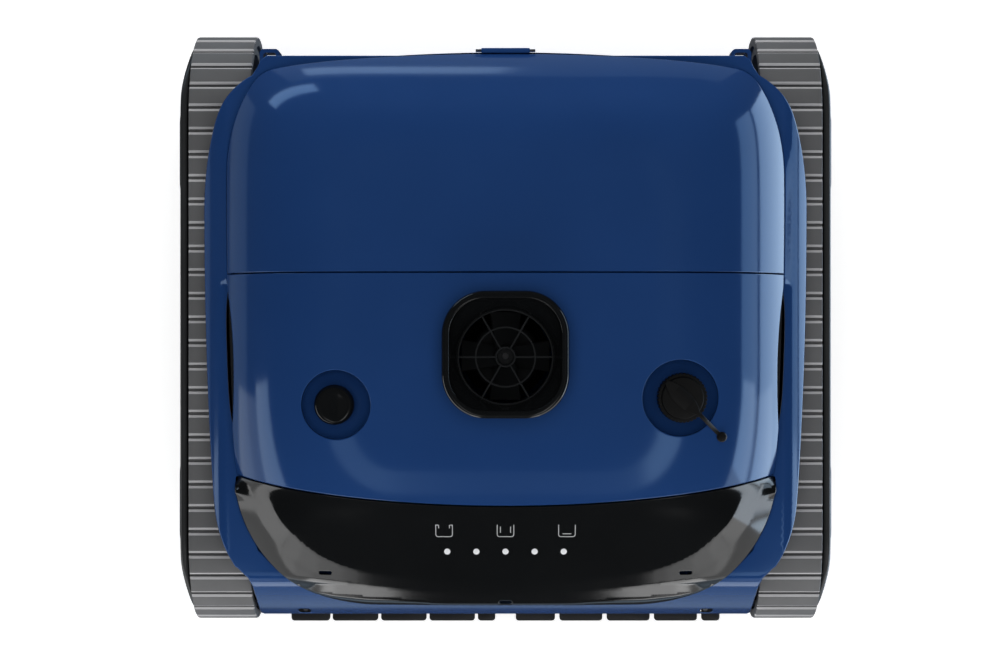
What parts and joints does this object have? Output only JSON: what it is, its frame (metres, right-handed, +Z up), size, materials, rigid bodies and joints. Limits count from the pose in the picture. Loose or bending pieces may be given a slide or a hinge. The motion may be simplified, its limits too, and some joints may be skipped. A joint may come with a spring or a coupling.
{
  "type": "pool cleaner",
  "caption": "Tracked cordless pool cleaner with a hinged lid, filter basket, top water outlet, roller brush and rounded covers.",
  "frame": {"origin": "on the floor, under the middle of the whole object", "axes": "+Z up, +X to the machine's right seen from above with the roller brush towards -Y"},
  "size_m": [0.43, 0.3968, 0.219],
  "materials": {
    "blue_shell": "satin dark blue",
    "gloss_black": "gloss black",
    "black_plastic": "fine matte black",
    "lens_white": "milky white",
    "track_rubber": "matte grey",
    "black_rubber": "matte black",
    "grey_plastic": "fine matte grey",
    "mesh_fabric": "fine nylon mesh",
    "steel": "brushed",
    "gear_plastic": "natural acetal",
    "motor_metal": "zinc plated",
    "board_green": "lacquered board",
    "socket_brass": "plain"
  },
  "bodies": {
    "chassis": {"base_tub": "blue_shell", "fender_frame": "blue_shell", "front_bumper": "blue_shell", "bumper_screws": "steel", "rear_skirt": "blue_shell", "front_cover": "blue_shell", "slot_liners": "black_plastic", "display_panel": "gloss_black", "indicator_lenses": "lens_white", "mode_icons": "lens_white", "outlet_bezel": "gloss_black", "outlet_grille": "black_plastic", "pump_housing": "black_plastic", "pump_motor": "black_plastic", "battery_pack": "grey_plastic", "control_board": "board_green", "button_cup": "blue_shell", "button_spring": "steel", "charging_cup": "blue_shell", "charging_socket": "socket_brass", "tether_strap": "black_rubber", "lid_hinge_pin": "steel", "lid_seal": "black_rubber", "bulkhead": "black_plastic", "intake_duct": "black_plastic", "bearing_bushes": "gear_plastic", "brush_bearing": "black_plastic", "drive_motors": "motor_metal", "track_left": "track_rubber", "track_right": "track_rubber", "track_frames": "black_plastic", "side_panels": "gloss_black"},
    "lid": {"rear_lid": "blue_shell", "latch_pin": "steel"},
    "latch": {"lid_latch": "blue_shell"},
    "basket": {"filter_basket": "grey_plastic", "filter_mesh": "mesh_fabric"},
    "handle": {"basket_handle": "grey_plastic"},
    "flap": {"inlet_flap": "black_rubber"},
    "impeller": {"propeller": "black_plastic", "pump_shaft": "steel"},
    "button": {"power_button": "gloss_black"},
    "cap": {"charging_cap": "black_rubber", "cap_seal": "black_rubber"},
    "wheel_front_left": {"wheel_front_left": "grey_plastic", "axle_front_left": "steel", "wheel_gear_left": "gear_plastic"},
    "wheel_rear_left": {"wheel_rear_left": "grey_plastic", "axle_rear_left": "steel"},
    "brush_left": {"brush_core_left": "grey_plastic", "brush_sleeve_left": "black_rubber"},
    "pinion_left": {"drive_pinion_left": "gear_plastic"},
    "wheel_front_right": {"wheel_front_right": "grey_plastic", "axle_front_right": "steel", "wheel_gear_right": "gear_plastic"},
    "wheel_rear_right": {"wheel_rear_right": "grey_plastic", "axle_rear_right": "steel"},
    "brush_right": {"brush_core_right": "grey_plastic", "brush_sleeve_right": "black_rubber"},
    "pinion_right": {"drive_pinion_right": "gear_plastic"}
  },
  "joints": [
    {"name": "lid_hinge", "type": "hinge", "parent": "chassis", "child": "lid", "pos_m": [0, 0.0508, 0.201], "axis": [1, 0, 0], "range_deg": [0, 72]},
    {"name": "latch_press", "type": "hinge", "parent": "lid", "child": "latch", "pos_m": [0, 0.1794, 0.149], "axis": [1, 0, 0], "range_deg": [0, 18], "stiffness_Nm_per_rad": 0.05},
    {"name": "basket_lift", "type": "slide", "parent": "chassis", "child": "basket", "axis": [0, 0, 1], "range_m": [0, 0.0755]},
    {"name": "handle_swing", "type": "hinge", "parent": "basket", "child": "handle", "pos_m": [0, 0.08, 0.128], "axis": [1, 0, 0], "range_deg": [0, 90]},
    {"name": "inlet_flap_swing", "type": "hinge", "parent": "basket", "child": "flap", "pos_m": [0, 0.0966, 0.0342], "axis": [1, 0, 0], "range_deg": [0, 70]},
    {"name": "impeller_spin", "type": "hinge", "parent": "chassis", "child": "impeller", "pos_m": [0, -0.0152, 0.14], "axis": [0, 0, 1], "continuous": true},
    {"name": "power_button_press", "type": "slide", "parent": "chassis", "child": "button", "axis": [0, 0, -1], "range_m": [0, 0.002], "stiffness_N_per_m": 800, "deforming": ["button_spring"]},
    {"name": "charging_cap_lift", "type": "slide", "parent": "chassis", "child": "cap", "axis": [0, 0, 1], "range_m": [0, 0.015], "deforming": ["tether_strap"]},
    {"name": "wheel_front_left_spin", "type": "hinge", "parent": "chassis", "child": "wheel_front_left", "pos_m": [-0.186, -0.1325, 0.06], "axis": [1, 0, 0], "continuous": true},
    {"name": "wheel_rear_left_spin", "type": "hinge", "parent": "chassis", "child": "wheel_rear_left", "pos_m": [-0.186, 0.1385, 0.06], "axis": [1, 0, 0], "continuous": true},
    {"name": "brush_left_spin", "type": "hinge", "parent": "chassis", "child": "brush_left", "pos_m": [-0.077, -0.1733, 0.0311], "axis": [1, 0, 0], "continuous": true},
    {"name": "pinion_left_spin", "type": "hinge", "parent": "chassis", "child": "pinion_left", "pos_m": [-0.1565, -0.0825, 0.06], "axis": [1, 0, 0], "continuous": true},
    {"name": "wheel_front_right_spin", "type": "hinge", "parent": "chassis", "child": "wheel_front_right", "pos_m": [0.186, -0.1325, 0.06], "axis": [1, 0, 0], "continuous": true},
    {"name": "wheel_rear_right_spin", "type": "hinge", "parent": "chassis", "child": "wheel_rear_right", "pos_m": [0.186, 0.1385, 0.06], "axis": [1, 0, 0], "continuous": true},
    {"name": "brush_right_spin", "type": "hinge", "parent": "chassis", "child": "brush_right", "pos_m": [0.077, -0.1733, 0.0311], "axis": [1, 0, 0], "continuous": true},
    {"name": "pinion_right_spin", "type": "hinge", "parent": "chassis", "child": "pinion_right", "pos_m": [0.1565, -0.0825, 0.06], "axis": [1, 0, 0], "continuous": true}
  ],
  "couplings": [
    {"joint": "basket_lift", "follows": "lid_hinge", "m_per_rad": 0.06},
    {"joint": "wheel_rear_left_spin", "follows": "wheel_front_left_spin", "ratio": 1},
    {"joint": "brush_left_spin", "follows": "wheel_front_left_spin", "ratio": -3.1667},
    {"joint": "pinion_left_spin", "follows": "wheel_front_left_spin", "ratio": -3.1667},
    {"joint": "wheel_rear_right_spin", "follows": "wheel_front_right_spin", "ratio": 1},
    {"joint": "brush_right_spin", "follows": "wheel_front_right_spin", "ratio": -3.1667},
    {"joint": "pinion_right_spin", "follows": "wheel_front_right_spin", "ratio": -3.1667}
  ]
}
